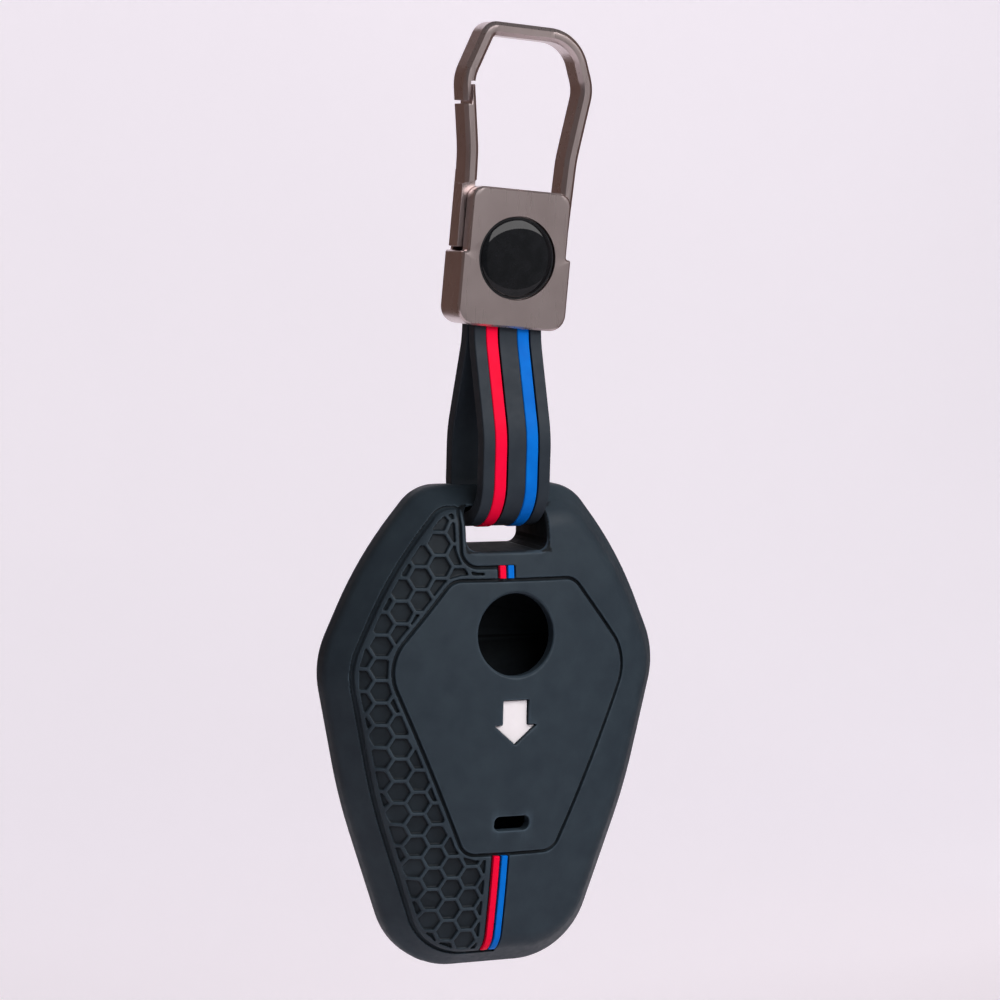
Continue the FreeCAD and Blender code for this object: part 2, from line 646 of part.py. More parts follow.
def gate():
    middle = nose_x() + NOSE_GAP
    slope = math.tan(math.radians(GATE_STEP_SLOPE))
    step_z = BLOCK_TOP + GATE_STEP_GAP
    low, high = NOSE_OUTER_Z - NOSE_GAP, NOSE_INNER_Z - NOSE_GAP
    outside = TAIL_LEFT - HOOK_SIDE_HALF
    kept = sharp_face([
        (outside, low), (middle, low), (middle, high), (0, high),
        (0, step_z - TAIL_LEFT * slope), (outside, step_z - HOOK_SIDE_HALF * slope),
    ])
    upper = hook_ring().common(prism(kept, -HOOK_DEPTH, HOOK_DEPTH))
    tail_right, tail_top = TAIL_LEFT + HOOK_WIDTH, step_z + HOOK_WIDTH
    knee = FOOT_TOP + 2 * FOOT_SWING
    heel = PIVOT_X + HOOK_WIDTH / 2
    outline = sharp_face([
        (TAIL_LEFT, TAIL_BOTTOM), (TAIL_LEFT, tail_top), (tail_right, tail_top), (tail_right, knee),
        (FOOT_X, FOOT_TOP), (FOOT_X, FOOT_BOTTOM), (heel, FOOT_BOTTOM), (heel, TAIL_BOTTOM),
    ])
    y = tail_middle()
    tail = prism(outline, y - TAIL_DEPTH / 2, y + TAIL_DEPTH / 2)
    solid = upper.fuse(tail)
    solid = solid.cut(bar_along_y(PIN_R + PIN_RUNNING, PIVOT_X, PIVOT_Z, -BLOCK_DEPTH, BLOCK_DEPTH))
    return shifted(solid, z=BADGE_Z)


def gate_spring():
    height = SPRING_LENGTH - 2 * SPRING_WIRE_R
    pitch = height / SPRING_TURNS
    helix = Part.makeHelix(pitch, height, SPRING_R)
    angles = [math.radians(60 * k) for k in range(6)]
    section = [point(SPRING_R + SPRING_WIRE_R * math.cos(a), SPRING_WIRE_R * math.sin(a)) for a in angles]
    hexagon = Part.makePolygon(section + section[:1])
    spring = Part.Wire(helix.Edges).makePipeShell([hexagon], True, True)
    print("spring self gap", round(pitch - 2 * SPRING_WIRE_R, 2))
    base_z = BADGE_Z + FOOT_BOTTOM - SPRING_LENGTH + SPRING_WIRE_R
    return shifted(Part.Solid(spring), SPRING_X, tail_middle(), base_z)


def badge_parts():
    floor_y = -BLOCK_DEPTH / 2 + BADGE_DEPTH
    top_y = floor_y - BADGE_BASE
    base = bar_along_y(BADGE_R, 0, BADGE_Z, top_y, floor_y)
    rim = FreeCAD.Vector(DOME_R, top_y, 0)
    middle = FreeCAD.Vector(0, top_y, 0)
    crest = FreeCAD.Vector(0, top_y - DOME_RISE, 0)
    radius = (DOME_R ** 2 + DOME_RISE ** 2) / (2 * DOME_RISE)
    half_angle = math.asin(DOME_R / radius) / 2
    centre_y = top_y - DOME_RISE + radius
    halfway = FreeCAD.Vector(radius * math.sin(half_angle), centre_y - radius * math.cos(half_angle), 0)
    edges = [
        Part.LineSegment(middle, rim).toShape(),
        Part.Arc(rim, halfway, crest).toShape(),
        Part.LineSegment(crest, middle).toShape(),
    ]
    dome = Part.Face(Part.Wire(edges)).revolve(FreeCAD.Vector(), Y_AXIS, 360)
    return {"badge_base": base, "badge_dome": shifted(dome, z=BADGE_Z)}


def block_parts():
    y0, _ = cavity_y()
    parts = {"hook_frame": hook_frame(), "gate": gate(), "gate_spring": gate_spring()}
    parts["gate_pin"] = bar_along_y(PIN_R, PIVOT_X, BADGE_Z + PIVOT_Z, y0 - PIN_BLIND, BLOCK_DEPTH / 2)
    pin_z = BADGE_Z + BLOCK_BOTTOM + STRAP_HOLD / 2
    parts["strap_pin"] = bar_along_y(PIN_R, 0, pin_z, -BLOCK_DEPTH / 2 + PIN_BLIND / 2, BLOCK_DEPTH / 2)
    parts.update(badge_parts())
    return parts


def placed_parts():
    """Every node in the world: the inside of the hook's crown is the origin."""
    crown = leaned(Part.Vertex(point(0, BADGE_Z + HOOK_TOP_Z - HOOK_WIDTH))).Point
    pivot = leaned(Part.Vertex(point(PIVOT_X, BADGE_Z + PIVOT_Z))).Point - crown
    loop = point(-crown.x, -crown.z)
    placed = {name: shifted(leaned(shape), *loop) for name, shape in block_parts().items()}
    placed.update({name: shifted(shape, *loop) for name, shape in strap_parts().items()})
    cover = loop - point(LOOP_X, LOOP_Z, LOOP_Y)
    placed.update({name: shifted(shape, *cover) for name, shape in cover_parts().items()})
    for label, place in (("loop centre", loop), ("gate pivot", pivot), ("window centre", cover)):
        print(label, [round(value, 3) for value in place])
    return placed


def main():
    os.makedirs("parts", exist_ok=True)
    for name, shape in placed_parts().items():
        print(name, shape.isValid(), len(shape.Solids), round(shape.Volume, 1))
        shape.Solids[0].exportStep(os.path.join("parts", name + ".step"))


main()
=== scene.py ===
import math

import bmesh
import bpy
import numpy as np
from mathutils import Matrix, Vector

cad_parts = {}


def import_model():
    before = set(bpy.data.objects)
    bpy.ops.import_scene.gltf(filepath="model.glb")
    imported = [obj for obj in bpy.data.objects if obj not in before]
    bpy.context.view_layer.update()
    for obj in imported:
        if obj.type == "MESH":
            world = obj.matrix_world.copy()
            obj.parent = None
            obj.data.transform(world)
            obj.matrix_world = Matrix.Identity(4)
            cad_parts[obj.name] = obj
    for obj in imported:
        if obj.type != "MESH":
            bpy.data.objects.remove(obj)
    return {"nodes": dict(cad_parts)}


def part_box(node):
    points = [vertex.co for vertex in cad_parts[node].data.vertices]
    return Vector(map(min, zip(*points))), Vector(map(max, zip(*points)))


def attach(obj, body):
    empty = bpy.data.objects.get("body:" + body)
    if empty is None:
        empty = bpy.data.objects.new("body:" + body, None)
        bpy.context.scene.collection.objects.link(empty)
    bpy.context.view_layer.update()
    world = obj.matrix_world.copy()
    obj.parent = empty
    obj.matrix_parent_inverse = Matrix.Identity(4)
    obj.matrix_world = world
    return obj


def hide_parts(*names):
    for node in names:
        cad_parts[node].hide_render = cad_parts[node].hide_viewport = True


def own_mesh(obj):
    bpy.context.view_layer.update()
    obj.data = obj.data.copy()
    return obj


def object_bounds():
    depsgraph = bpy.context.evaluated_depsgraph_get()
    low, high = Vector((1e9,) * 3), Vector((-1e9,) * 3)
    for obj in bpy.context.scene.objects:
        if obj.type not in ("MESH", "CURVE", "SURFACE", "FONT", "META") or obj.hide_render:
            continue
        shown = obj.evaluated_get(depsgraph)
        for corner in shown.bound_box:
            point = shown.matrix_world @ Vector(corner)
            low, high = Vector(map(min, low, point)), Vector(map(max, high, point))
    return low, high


# Key fob cover hanging from a folded strap and a spring-gate hook, seen from the front left.
# Sizes and places are named in millimetres in the frame of the part, and MM turns them into metres.

MM = 0.001

# Moulded pieces: copies of the solids with softened edges, made on a fine grid
COVER_GRID = 0.12
COVER_SOFTENING = 2
COVER_KEPT = 0.18
INLAY_GRID = 0.07
INLAY_SOFTENING = 6
INLAY_KEPT = 0.5
SOFTENING_SHARE = 0.5

# Relief: how far a point stands above or below its evened form, which paints shade into the rubber's sunk and
# deep places and a highlight onto its raised tops
RELIEF = "relief"
RELIEF_PASSES = 40
SUNK = (-0.09, -0.015)
CELL_PAINTED_SHADE = 0.42
GROOVE_PAINTED_SHADE = 0.12
DEEP = (-0.4, -0.15)
DEEP_PAINTED_SHADE = 0.15
DEEP_ROUGH = 0.45
RAISED = (0.07, 0.28)
RAISED_PAINTED_HIGHLIGHT = 1.8

# Slot of the cover that the strap passes through: its walls get a made-up relief at the deep end, which
# paints shade onto them and makes them rougher
SLOT_LOW, SLOT_HIGH = (-10.5, -7.1, -77.2), (3.5, 9.0, -70.2)
SLOT_FADE = 0.5

# Strap: a band folded round the cover's bar, with its loop centre at LOOP_PLACE
LOOP_PLACE = (-2.955, 0.0, -66.699)
STRAP_WIDTH = 11.2
STRAP_THICK = 2.2
STRAP_ROUND = 0.22
LOOP_R = 5.9
LOOP_STRAIGHT = 5.0
SHOULDER_R = 14.0
NECK_R = 12.0
ENDS_GAP = 0.4
EXIT_Z = 23.35
HELD_LENGTH = 3.7
STRIPE_X = 2.58
STRIPE_LEFT, STRIPE_RIGHT = 1.1, 0.8
GROOVE_HALF = 1.12
STRIPE_GROOVE = 0.6
STRIPE_PROUD = 0.15
STRIPE_ROUND = 0.15
STRIPE_HELD = 0.3
LIP_ROUND = 0.06
PATH_STEP = 0.35
ROUND_STEPS = 4

# Gate spring, standing in the block under the foot of the gate, with its lean in degrees
SPRING_TURNS = 5
SPRING_R = 1.05
SPRING_WIRE_R = 0.2
SPRING_STEPS = 40
WIRE_SIDES = 10
SPRING_LEAN = 3.9

# Badge dome
DOME_RINGS = 24
DOME_SIDES = 96

# Edges and normals of flat faces
METAL_BEVEL = 0.14
METAL_BEVEL_STEPS = 2
METAL_BEVEL_ANGLE = 20.0
METAL_NORMAL_WEIGHT = 80
FLAT_NORMAL_WEIGHT = 100
WELD_REACH = 0.001

# Noises as scale per metre and detail, and the part of their range that is used
PATTERN = (0.3, 0.7)
RUBBER_CLOUDS = (260.0, 4.0)
RUBBER_SHEEN = (900.0, 3.0)
RUBBER_GRAIN = (9000.0, 2.0)
METAL_DRIFT = (140.0, 3.0)
METAL_LINES = (3500.0, 2.0)
RESIN_CLOUDS = (500.0, 3.0)
RESIN_SHEEN = (700.0, 2.0)
PAPER_CLOUDS = (3.0, 2.0)

# Surface of each kind of material
SHEEN_SPREAD = 0.06
GRAIN_DEPTH, GRAIN_STRENGTH = 0.01, 0.35
LINES_DRAW = (1.0, 1.0, 0.03)
LINES_SPREAD = 0.008
LINES_DEPTH, LINES_STRENGTH = 0.0004, 0.03
RESIN_ROUGH = (0.1, 0.2)
COAT_WEIGHT, COAT_ROUGH = 0.6, 0.03
PAPER_ROUGH, PAPER_GLOSS = 0.9, 0.1

# Dark and light tone of each finish
COVER_TONES = ((0.022, 0.034, 0.046), (0.029, 0.044, 0.057))
STRAP_TONES = ((0.020, 0.028, 0.038), (0.026, 0.036, 0.047))
RED_TONES = ((0.92, 0.001, 0.036), (0.98, 0.002, 0.048))
BLUE_TONES = ((0.0004, 0.145, 0.62), (0.0008, 0.185, 0.72))
WHITE_TONES = ((0.90, 0.87, 0.89), (0.96, 0.93, 0.95))
BADGE_TONES = ((0.006, 0.007, 0.009), (0.012, 0.013, 0.016))
GUNMETAL_TONES = ((0.57, 0.48, 0.47), (0.65, 0.555, 0.545))
STEEL_TONES = ((0.46, 0.45, 0.44), (0.56, 0.55, 0.54))
RESIN_TONES = ((0.004, 0.005, 0.006), (0.009, 0.010, 0.012))
PAPER_TONES = ((0.70, 0.665, 0.71), (0.74, 0.705, 0.75))
CARD_TONES = ((0.06, 0.040, 0.034), (0.08, 0.055, 0.047))
SURROUND_TONES = ((0.01, 0.01, 0.01), (0.02, 0.02, 0.02))

# Roughness and gloss of each rubber, and roughness of each metal
COVER_ROUGH, COVER_GLOSS = 0.52, 0.2
STRAP_ROUGH, STRAP_GLOSS = 0.56, 0.2
STRIPE_ROUGH, STRIPE_GLOSS = 0.5, 0.06
WHITE_ROUGH, WHITE_GLOSS = 0.5, 0.3
BADGE_ROUGH, BADGE_GLOSS = 0.35, 0.4
GUNMETAL_ROUGH = 0.28
STEEL_ROUGH = 0.28

# Camera of the photo, found by matching the outline: turns in degrees, place of the window in its view
WINDOW_PLACE = (-2.555, -7.9, -89.541)
VIEW_ROLL, VIEW_TILT, VIEW_SWING = 1.63, 5.97, -24.86
VIEW_WINDOW = (2.61, 20.43, 484.4)
LENS = 115.2
SENSOR = 36.0

# Stage: floor that sweeps up into a wall, and a pale ball round all
FLOOR_DROP = 90.0
SWEEP_NEAR = 380.0
APRON_NEAR = 900.0
SWEEP_FAR = 500.0
SWEEP_R = 300.0
SWEEP_HEIGHT = 1100.0
SWEEP_HALF = 1200.0
SWEEP_STEPS = 24
PAPER_GLOW = (0.40, 0.38, 0.41)
LIT_SPOT = (200.0, -450.0, -230.0)
GLOW_FADE = (250.0, 750.0)
SURROUND_R = 3000.0
SURROUND_STEPS = 4
SURROUND_GLOW = (0.80, 0.76, 0.81)

# Flags: place, width and height, and turn in degrees of each card
LEFT_FLAG = ((-195.0, 135.0, -60.0), (630.0, 640.0), 64.7)
RIGHT_FLAG = ((245.0, 115.0, -60.0), (470.0, 520.0), 67.3)
CARD_GLOW = (0.07, 0.043, 0.034)

# Light: place, width and height, watts and tone of each softbox, all aimed at LIT_MIDDLE
LIT_MIDDLE = (0.0, 0.0, -70.0)
KEY_LIGHT = ((260.0, -600.0, 480.0), (1200.0, 560.0), 8.8, (1.0, 0.97, 0.97))
FRONT_LIGHT = ((378.0, -810.0, -120.0), (1200.0, 900.0), 0.5, (1.0, 0.93, 0.92))
SKY_TONE = (0.94, 0.91, 0.95)
SKY_STRENGTH = 0.12


def metres(values):
    return Vector(values) * MM


def link(obj):
    bpy.context.scene.collection.objects.link(obj)
    return obj


def smooth(obj):
    obj.data.polygons.foreach_set("use_smooth", [True] * len(obj.data.polygons))
    return obj


def object_of(shape, name):
    """New object with the faces of a shape, which is freed."""
    mesh = bpy.data.meshes.new(name)
    shape.to_mesh(mesh)
    shape.free()
    return link(bpy.data.objects.new(name, mesh))


def skinned(shape, rings):
    """Close a tube over rings of points, with a face at both ends."""
    count = len(rings[0])
    for a, b in zip(rings, rings[1:]):
        for i in range(count):
            j = (i + 1) % count
            shape.faces.new((a[i], a[j], b[j], b[i]))
    shape.faces.new(rings[0])
    shape.faces.new(reversed(rings[-1]))
    bmesh.ops.recalc_face_normals(shape, faces=shape.faces)
    return shape


def baked(obj):
    """Apply the modifiers of a piece to its mesh."""
    graph = bpy.context.evaluated_depsgraph_get()
    mesh = bpy.data.meshes.new_from_object(obj.evaluated_get(graph))
    obj.modifiers.clear()
    obj.data = mesh
    return obj


def moulded(node, grid, softening, kept):
    """Copy of a solid with its edges softened, then thinned where the form is even."""
    shape = bmesh.new()
    shape.from_mesh(node.data)
    bmesh.ops.remove_doubles(shape, verts=shape.verts, dist=WELD_REACH * MM)
    skin = object_of(shape, node.name + "_skin")
    even = skin.modifiers.new("even", "REMESH")
    even.mode = "VOXEL"
    even.voxel_size = grid * MM
    soft = skin.modifiers.new("soft", "SMOOTH")
    soft.factor = SOFTENING_SHARE
    soft.iterations = softening
    thin = skin.modifiers.new("thin", "DECIMATE")
    thin.ratio = kept
    return smooth(baked(skin))


def set_relief(mesh, heights):
    mesh.attributes.new(RELIEF, "FLOAT", "POINT").data.foreach_set("value", heights)


def slot_painted_shade_depth(places):
    """Made-up relief of the strap slot's walls, for painted shade on them: none at the front edge, falling to
    the deep end of DEEP inside.
    """
    inside = ((places > SLOT_LOW) & (places < SLOT_HIGH)).all(axis=1)
    share = np.clip((places[:, 1] - SLOT_LOW[1]) / SLOT_FADE, 0.0, 1.0)
    return np.where(inside, DEEP[0] * share, 0.0)


def mark_relief(skin):
    """Note on each point how far it stands above (+) or below (-) the evened form."""
    mesh = skin.data
    count = len(mesh.vertices)
    places = np.empty(count * 3)
    mesh.vertices.foreach_get("co", places)
    places = places.reshape(count, 3)
    normals = np.empty(count * 3)
    mesh.vertices.foreach_get("normal", normals)
    ends = np.empty(len(mesh.edges) * 2, dtype=np.int32)
    mesh.edges.foreach_get("vertices", ends)
    here, there = ends[0::2], ends[1::2]
    neighbours = np.maximum(np.bincount(ends, minlength=count), 1)
    even = places.copy()
    for _ in range(RELIEF_PASSES):
        mean = np.empty_like(even)
        for axis in range(3):
            sums = np.bincount(here, even[there, axis], count) + np.bincount(there, even[here, axis], count)
            mean[:, axis] = sums / neighbours
        even += (mean - even) * SOFTENING_SHARE
    height = ((places - even) * normals.reshape(count, 3)).sum(axis=1) / MM
    # The slot's walls get the made-up depth of the slot, which paints shade onto them.
    set_relief(mesh, height + slot_painted_shade_depth(places / MM))
    return skin


def rounded_loop(corners):
    """Closed outline with each corner (x, y, radius) turned into a short arc."""
    loop = []
    count = len(corners)
    for i, (x, y, radius) in enumerate(corners):
        here = Vector((x, y))
        back = (Vector(corners[i - 1][:2]) - here).normalized()
        ahead = (Vector(corners[(i + 1) % count][:2]) - here).normalized()
        half = back.angle(ahead) / 2
        centre = here + (back + ahead).normalized() * (radius / math.sin(half))
        start = here + back * (radius / math.tan(half)) - centre
        end = here + ahead * (radius / math.tan(half)) - centre
        for k in range(ROUND_STEPS + 1):
            loop.append(centre + start.slerp(end, k / ROUND_STEPS).normalized() * radius)
    return loop


def strap_line(held):
    """Middle of the band in the YZ plane as (y, z, outward angle), from inside the block down and back up."""
    neck_y = (ENDS_GAP + STRAP_THICK) / 2
    shoulder = Vector((LOOP_R - SHOULDER_R, LOOP_STRAIGHT))
    neck = Vector((neck_y + NECK_R, EXIT_Z))
    across = neck - shoulder
    lean = math.atan2(across.y, across.x) - math.acos((SHOULDER_R + NECK_R) / across.length)

    def arc(centre, radius, a0, a1):
        steps = max(2, math.ceil(abs(radius * (a1 - a0)) / PATH_STEP))
        angles = [a0 + (a1 - a0) * k / steps for k in range(steps + 1)]
        return [(centre.x + radius * math.cos(a), centre.y + radius * math.sin(a), a) for a in angles]

    half = [(neck_y, EXIT_Z + held, 0.0)] + arc(neck, -NECK_R, 0.0, lean)
    half += arc(shoulder, SHOULDER_R, lean, 0.0)
    half += arc(Vector((0.0, 0.0)), LOOP_R, 0.0, -math.pi / 2)
    return half + [(-y, z, math.pi - a) for y, z, a in reversed(half[:-1])]


def swept(name, line, section):
    """Piece made by carrying a section (across, outward) along the strap's line."""
    shape = bmesh.new()
    rings = []
    for y, z, angle in line:
        ring = []
        for across, out in section:
            place = Vector((across, y + out * math.cos(angle), z + out * math.sin(angle)))
            ring.append(shape.verts.new(metres(place + Vector(LOOP_PLACE))))
        rings.append(ring)
    return smooth(object_of(skinned(shape, rings), name))


def even_normals(obj, weight=FLAT_NORMAL_WEIGHT):
    """Large flat faces keep their own direction and only the rounds turn."""
    modifier = obj.modifiers.new("even_normals", "WEIGHTED_NORMAL")
    modifier.weight = weight
    return obj


def strap_band():
    """Band with a groove for each stripe in its outer face."""
    half, out = STRAP_WIDTH / 2, STRAP_THICK / 2
    floor = out - STRIPE_GROOVE
    corners = [(-half, -out, STRAP_ROUND), (half, -out, STRAP_ROUND), (half, out, STRAP_ROUND)]
    for x in (STRIPE_X, -STRIPE_X):
        corners += [(x + GROOVE_HALF, out, LIP_ROUND), (x + GROOVE_HALF, floor, LIP_ROUND)]
        corners += [(x - GROOVE_HALF, floor, LIP_ROUND), (x - GROOVE_HALF, out, LIP_ROUND)]
    corners.append((-half, out, STRAP_ROUND))
    section = rounded_loop(corners)
    line = strap_line(HELD_LENGTH)
    band = swept("strap_band_skin", line, section)
    # The grooves' depth below the outer face goes into the relief, which paints shade into the grooves.
    depths = [min(0.0, y - out) if abs(abs(x) - STRIPE_X) <= GROOVE_HALF else 0.0 for x, y in section]
    set_relief(band.data, depths * len(line))
    return band


def strap_stripe(name, groove_x):
    """Coloured stripe that lies against the left wall of its groove."""
    left, right = groove_x - STRIPE_LEFT, groove_x + STRIPE_RIGHT
    low, high = STRAP_THICK / 2 - STRIPE_GROOVE, STRAP_THICK / 2 + STRIPE_PROUD
    corners = [
        (left, low, LIP_ROUND / 2), (right, low, LIP_ROUND / 2),
        (right, high, STRIPE_ROUND), (left, high, STRIPE_ROUND),
    ]
    return swept(name, strap_line(STRIPE_HELD), rounded_loop(corners))


def gate_spring():
    """Round wire wound between the block's seat and the gate's foot."""
    low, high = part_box("gate_spring")
    middle = (low + high) / 2
    axis = Matrix.Rotation(math.radians(SPRING_LEAN), 3, "Y")
    height = (high.z - low.z) / MM - 2 * SPRING_WIRE_R
    steps = SPRING_TURNS * SPRING_STEPS
    shape = bmesh.new()
    rings = []
    for k in range(steps + 1):
        turn = 2 * math.pi * k / SPRING_STEPS
        rise = height * (k / steps - 0.5)
        outward = Vector((math.cos(turn), math.sin(turn), 0.0))
        ring = []
        for side in range(WIRE_SIDES):
            angle = 2 * math.pi * side / WIRE_SIDES
            place = outward * (SPRING_R + SPRING_WIRE_R * math.cos(angle))
            place.z = rise + SPRING_WIRE_R * math.sin(angle)
            ring.append(shape.verts.new(middle + metres(axis @ place)))
        rings.append(ring)
    return smooth(object_of(skinned(shape, rings), "gate_spring_wire"))


def badge_dome():
    """Poured lens: flat on top and round at the shoulder, over a flat foot."""
    low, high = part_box("badge_dome")
    middle = (low + high) / 2
    radius, rise = (high.x - low.x) / 2, high.y - low.y
    shape = bmesh.new()
    crest = shape.verts.new((middle.x, low.y, middle.z))
    rings = []
    for k in range(1, DOME_RINGS + 1):
        fall = math.pi / 2 * k / DOME_RINGS
        y, out = low.y + rise * (1 - math.cos(fall)), radius * math.sin(fall)
        ring = []
        for side in range(DOME_SIDES):
            turn = 2 * math.pi * side / DOME_SIDES
            x, z = middle.x + out * math.cos(turn), middle.z + out * math.sin(turn)
            ring.append(shape.verts.new((x, y, z)))
        rings.append(ring)
    for i in range(DOME_SIDES):
        j = (i + 1) % DOME_SIDES
        shape.faces.new((crest, rings[0][i], rings[0][j]))
        for a, b in zip(rings, rings[1:]):
            shape.faces.new((a[i], b[i], b[j], a[j]))
    foot = shape.faces.new(rings[-1])
    for edge in foot.edges:
        edge.smooth = False
    bmesh.ops.recalc_face_normals(shape, faces=shape.faces)
    return smooth(object_of(shape, "badge_dome_lens"))


def metal_edges(node):
    """Small rounds on the edges of a metal solid, laid over its mesh."""
    weld = node.modifiers.new("weld", "WELD")
    weld.merge_threshold = WELD_REACH * MM
    bevel = node.modifiers.new("edges", "BEVEL")
    bevel.width = METAL_BEVEL * MM
    bevel.segments = METAL_BEVEL_STEPS
    bevel.limit_method = "ANGLE"
    bevel.angle_limit = math.radians(METAL_BEVEL_ANGLE)
    even_normals(smooth(node), METAL_NORMAL_WEIGHT)


def material(name):
    made = bpy.data.materials.new(name)
    made.use_nodes = True
    tree = made.node_tree
    coords = tree.nodes.new("ShaderNodeTexCoord").outputs["Object"]
    return made, tree, tree.nodes["Principled BSDF"], coords


def noise(tree, pattern, coords):
    node = tree.nodes.new("ShaderNodeTexNoise")
    node.inputs["Scale"].default_value, node.inputs["Detail"].default_value = pattern
    tree.links.new(coords, node.inputs["Vector"])
    return node.outputs["Fac"]


def between(tree, value, source, target):
    """Turn a value in the source range into one in the target range, held at its ends."""
    node = tree.nodes.new("ShaderNodeMapRange")
    node.inputs["From Min"].default_value, node.inputs["From Max"].default_value = source
    node.inputs["To Min"].default_value, node.inputs["To Max"].default_value = target
    tree.links.new(value, node.inputs["Value"])
    return node.outputs["Result"]


def uneven(tree, value, middle, reach):
    """Turn a pattern into a value that wanders about a middle one."""
    return between(tree, value, PATTERN, (middle - reach, middle + reach))


def shades(tree, value, tones):
    """Turn a pattern into a colour between a dark and a light tone."""
    node = tree.nodes.new("ShaderNodeValToRGB")
    for element, position, tone in zip(node.color_ramp.elements, PATTERN, tones):
        element.position = position
        element.color = (*tone, 1.0)
    tree.links.new(value, node.inputs["Fac"])
    return node.outputs["Color"]


def grain(tree, shader, value, depth, strength):
    node = tree.nodes.new("ShaderNodeBump")
    node.inputs["Distance"].default_value = depth * MM
    node.inputs["Strength"].default_value = strength
    tree.links.new(value, node.inputs["Height"])
    tree.links.new(node.outputs["Normal"], shader.inputs["Normal"])


def combined(tree, operation, first, second):
    """Sum or product of two values."""
    node = tree.nodes.new("ShaderNodeMath")
    node.operation = operation
    tree.links.new(first, node.inputs[0])
    tree.links.new(second, node.inputs[1])
    return node.outputs["Value"]


def relief_of(tree):
    node = tree.nodes.new("ShaderNodeAttribute")
    node.attribute_name = RELIEF
    return node.outputs["Fac"]


def painted_relief_shade(tree, colour, height, sunk_painted_shade):
    """Darken what is sunk or deep with painted shade, and lighten the raised tops of the ribs with a painted
    highlight.
    """
    sunk = between(tree, height, SUNK, (sunk_painted_shade, 1.0))
    deep = between(tree, height, DEEP, (DEEP_PAINTED_SHADE, 1.0))
    raised = between(tree, height, RAISED, (1.0, RAISED_PAINTED_HIGHLIGHT))
    shaded = tree.nodes.new("ShaderNodeVectorMath")
    shaded.operation = "SCALE"
    tree.links.new(colour, shaded.inputs[0])
    shade = combined(tree, "MULTIPLY", combined(tree, "MULTIPLY", sunk, deep), raised)
    tree.links.new(shade, shaded.inputs["Scale"])
    return shaded.outputs["Vector"]


def silicone(name, tones, rough, gloss, sunk_painted_shade=None):
    """Matt moulded rubber: faint cloudy tone, fine mould grain and uneven sheen."""
    made, tree, shader, coords = material(name)
    colour = shades(tree, noise(tree, RUBBER_CLOUDS, coords), tones)
    sheen = uneven(tree, noise(tree, RUBBER_SHEEN, coords), rough, SHEEN_SPREAD)
    # Given a sunk shade, the relief paints shade into sunk and deep places and a highlight onto raised tops,
    # and makes deep places rougher.
    if sunk_painted_shade:
        height = relief_of(tree)
        colour = painted_relief_shade(tree, colour, height, sunk_painted_shade)
        sheen = combined(tree, "ADD", sheen, between(tree, height, DEEP, (DEEP_ROUGH, 0.0)))
    tree.links.new(colour, shader.inputs["Base Color"])
    tree.links.new(sheen, shader.inputs["Roughness"])
    shader.inputs["Specular IOR Level"].default_value = gloss
    grain(tree, shader, noise(tree, RUBBER_GRAIN, coords), GRAIN_DEPTH, GRAIN_STRENGTH)
    return made


def brushed(tree, coords):
    """Coordinates drawn out along the object, for the fine lines of a brushed face."""
    node = tree.nodes.new("ShaderNodeMapping")
    node.inputs["Scale"].default_value = LINES_DRAW
    tree.links.new(coords, node.inputs["Vector"])
    return node.outputs["Vector"]


def plated(name, tones, rough):
    """Satin plating: tone drifts a little, and brushing shows as fine lines in the sheen."""
    made, tree, shader, coords = material(name)
    tree.links.new(shades(tree, noise(tree, METAL_DRIFT, coords), tones), shader.inputs["Base Color"])
    lines = noise(tree, METAL_LINES, brushed(tree, coords))
    tree.links.new(uneven(tree, lines, rough, LINES_SPREAD), shader.inputs["Roughness"])
    shader.inputs["Metallic"].default_value = 1.0
    grain(tree, shader, lines, LINES_DEPTH, LINES_STRENGTH)
    return made


def resin(name, tones):
    """Poured glossy dome over black."""
    made, tree, shader, coords = material(name)
    tree.links.new(shades(tree, noise(tree, RESIN_CLOUDS, coords), tones), shader.inputs["Base Color"])
    shader.inputs["Specular IOR Level"].default_value = 0.0
    shader.inputs["Coat Weight"].default_value = COAT_WEIGHT
    shader.inputs["Coat Roughness"].default_value = COAT_ROUGH
    sheen = between(tree, noise(tree, RESIN_SHEEN, coords), PATTERN, RESIN_ROUGH)
    tree.links.new(sheen, shader.inputs["Roughness"])
    return made


def paper(name, tones, glow, fade=None):
    """Paper that also glows, all over or fading in with the distance from the lamp's spot."""
    made, tree, shader, coords = material(name)
    tree.links.new(shades(tree, noise(tree, PAPER_CLOUDS, coords), tones), shader.inputs["Base Color"])
    shader.inputs["Roughness"].default_value = PAPER_ROUGH
    shader.inputs["Specular IOR Level"].default_value = PAPER_GLOSS
    shader.inputs["Emission Color"].default_value = (*glow, 1.0)
    shader.inputs["Emission Strength"].default_value = 1.0
    if fade:
        away = tree.nodes.new("ShaderNodeVectorMath")
        away.operation = "DISTANCE"
        tree.links.new(coords, away.inputs[0])
        away.inputs[1].default_value = metres(LIT_SPOT)
        strength = between(tree, away.outputs["Value"], [reach * MM for reach in fade], (0.0, 1.0))
        tree.links.new(strength, shader.inputs["Emission Strength"])
    return made


